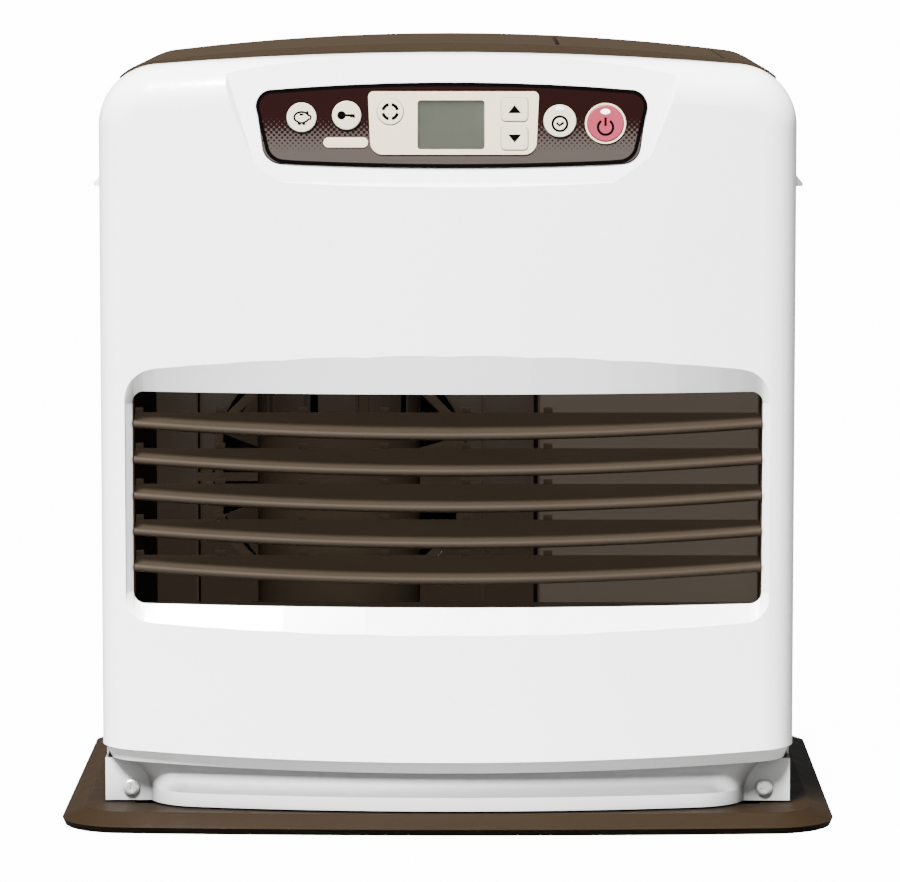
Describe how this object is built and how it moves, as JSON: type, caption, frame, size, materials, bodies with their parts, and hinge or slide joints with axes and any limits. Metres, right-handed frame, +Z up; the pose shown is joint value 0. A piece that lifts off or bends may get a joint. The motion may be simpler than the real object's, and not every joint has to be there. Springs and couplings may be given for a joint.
{
  "type": "paraffin heater",
  "caption": "Free-standing paraffin fan heater with a bowed white cabinet, louvred outlet, inclined control panel, lift-out tank under a lid, and a drip tray.",
  "frame": {"origin": "centre of the drip tray's footprint, on the floor it stands on", "axes": "+Z up, -Y is the front with the louvres and the controls, +X is the right-hand side seen from the front, where the fuel tank is"},
  "size_m": [0.428, 0.299, 0.4312],
  "materials": {
    "white_enamel": "gloss",
    "dark_enamel": "satin",
    "brown_plastic": "satin",
    "white_plastic": "satin",
    "fascia": "gloss",
    "cream_plastic": "satin",
    "pink_plastic": "satin",
    "window": "clear",
    "lcd": "matt",
    "zinc": "satin",
    "heat_steel": "matt",
    "cast": "matt",
    "ceramic": "matt",
    "board": "satin",
    "black_plastic": "satin",
    "grey_plastic": "satin",
    "rubber": "matt",
    "red_plastic": "satin",
    "clear_plastic": "clear",
    "brass": "satin"
  },
  "bodies": {
    "cabinet": {"air_tube": "zinc", "base_feet": "rubber", "base_pan": "zinc", "blower_housing": "zinc", "blower_motor": "zinc", "burner_head": "heat_steel", "burner_pot": "cast", "combustion_chamber": "heat_steel", "control_board": "board", "control_fascia": "fascia", "cord_gland": "black_plastic", "corner_screws": "zinc", "display_module": "lcd", "display_window": "window", "drip_tray": "brown_plastic", "fan_bracket": "zinc", "fan_guard": "black_plastic", "fan_motor": "zinc", "fan_shroud": "zinc", "fascia_trims": "cream_plastic", "flame_sensor": "ceramic", "front_panel": "white_enamel", "fuel_pipe": "brass", "fuel_pump": "zinc", "fuel_strainer": "clear_plastic", "heat_box": "heat_steel", "heat_shield": "dark_enamel", "igniter": "ceramic", "ignition_transformer": "black_plastic", "left_side_panel": "white_enamel", "lid_hinge_pins": "zinc", "louvre_frame": "dark_enamel", "louvres": "dark_enamel", "lower_skirt": "white_enamel", "power_board": "board", "rear_panel": "white_enamel", "right_side_panel": "white_enamel", "room_sensor": "black_plastic", "side_grips": "white_plastic", "sump_tank": "zinc", "tact_switches": "black_plastic", "tip_over_switch": "black_plastic", "top_plate": "brown_plastic"},
    "tank_lid": {"tank_lid": "brown_plastic"},
    "tank": {"fuel_tank": "zinc", "tank_handle": "black_plastic", "tank_gauge": "clear_plastic"},
    "tank_cap": {"tank_cap": "red_plastic"},
    "fan": {"convection_fan": "grey_plastic"},
    "blower": {"blower_wheel": "grey_plastic"},
    "filter": {"air_filter": "grey_plastic"},
    "tip_weight": {"tip_weight": "zinc"},
    "down_button": {"down_button": "cream_plastic"},
    "economy_button": {"economy_button": "cream_plastic"},
    "lock_button": {"lock_button": "cream_plastic"},
    "power_button": {"power_button": "pink_plastic"},
    "ring_button": {"ring_button": "cream_plastic"},
    "timer_button": {"timer_button": "cream_plastic"},
    "up_button": {"up_button": "cream_plastic"}
  },
  "joints": [
    {"name": "lid_hinge", "type": "hinge", "parent": "cabinet", "child": "tank_lid", "pos_m": [0.064, 0.009, 0.42608], "axis": [0, -1, 0], "range_deg": [0, 95]},
    {"name": "tank_lift", "type": "slide", "parent": "cabinet", "child": "tank", "axis": [0, 0, 1], "range_m": [0, 0.035]},
    {"name": "tank_cap_turn", "type": "hinge", "parent": "tank", "child": "tank_cap", "pos_m": [0.10825, 0.009, 0.052], "axis": [0, 0, 1], "range_deg": [0, 90]},
    {"name": "fan_spin", "type": "hinge", "parent": "cabinet", "child": "fan", "pos_m": [-0.065, 0.106, 0.17], "axis": [0, 1, 0], "continuous": true},
    {"name": "blower_spin", "type": "hinge", "parent": "cabinet", "child": "blower", "pos_m": [-0.128, -0.03, 0.026], "axis": [0, 0, 1], "continuous": true},
    {"name": "filter_pull", "type": "slide", "parent": "cabinet", "child": "filter", "axis": [0, 1, 0], "range_m": [0, 0.015]},
    {"name": "tip_swing", "type": "hinge", "parent": "cabinet", "child": "tip_weight", "pos_m": [-0.1, 0.1, 0.04], "axis": [1, 0, 0], "range_deg": [-8, 8]},
    {"name": "down_button_press", "type": "slide", "parent": "cabinet", "child": "down_button", "axis": [0, 0.9848, -0.1736], "range_m": [0, 0.001], "stiffness_N_per_m": 300},
    {"name": "economy_button_press", "type": "slide", "parent": "cabinet", "child": "economy_button", "axis": [0, 0.9848, -0.1736], "range_m": [0, 0.001], "stiffness_N_per_m": 300},
    {"name": "lock_button_press", "type": "slide", "parent": "cabinet", "child": "lock_button", "axis": [0, 0.9848, -0.1736], "range_m": [0, 0.001], "stiffness_N_per_m": 300},
    {"name": "power_button_press", "type": "slide", "parent": "cabinet", "child": "power_button", "axis": [0, 0.9848, -0.1736], "range_m": [0, 0.001], "stiffness_N_per_m": 300},
    {"name": "ring_button_press", "type": "slide", "parent": "cabinet", "child": "ring_button", "axis": [0, 0.9848, -0.1736], "range_m": [0, 0.001], "stiffness_N_per_m": 300},
    {"name": "timer_button_press", "type": "slide", "parent": "cabinet", "child": "timer_button", "axis": [0, 0.9848, -0.1736], "range_m": [0, 0.001], "stiffness_N_per_m": 300},
    {"name": "up_button_press", "type": "slide", "parent": "cabinet", "child": "up_button", "axis": [0, 0.9848, -0.1736], "range_m": [0, 0.001], "stiffness_N_per_m": 300}
  ],
  "couplings": [
    {"joint": "tank_lift", "follows": "lid_hinge", "m_per_rad": 0.021109}
  ]
}
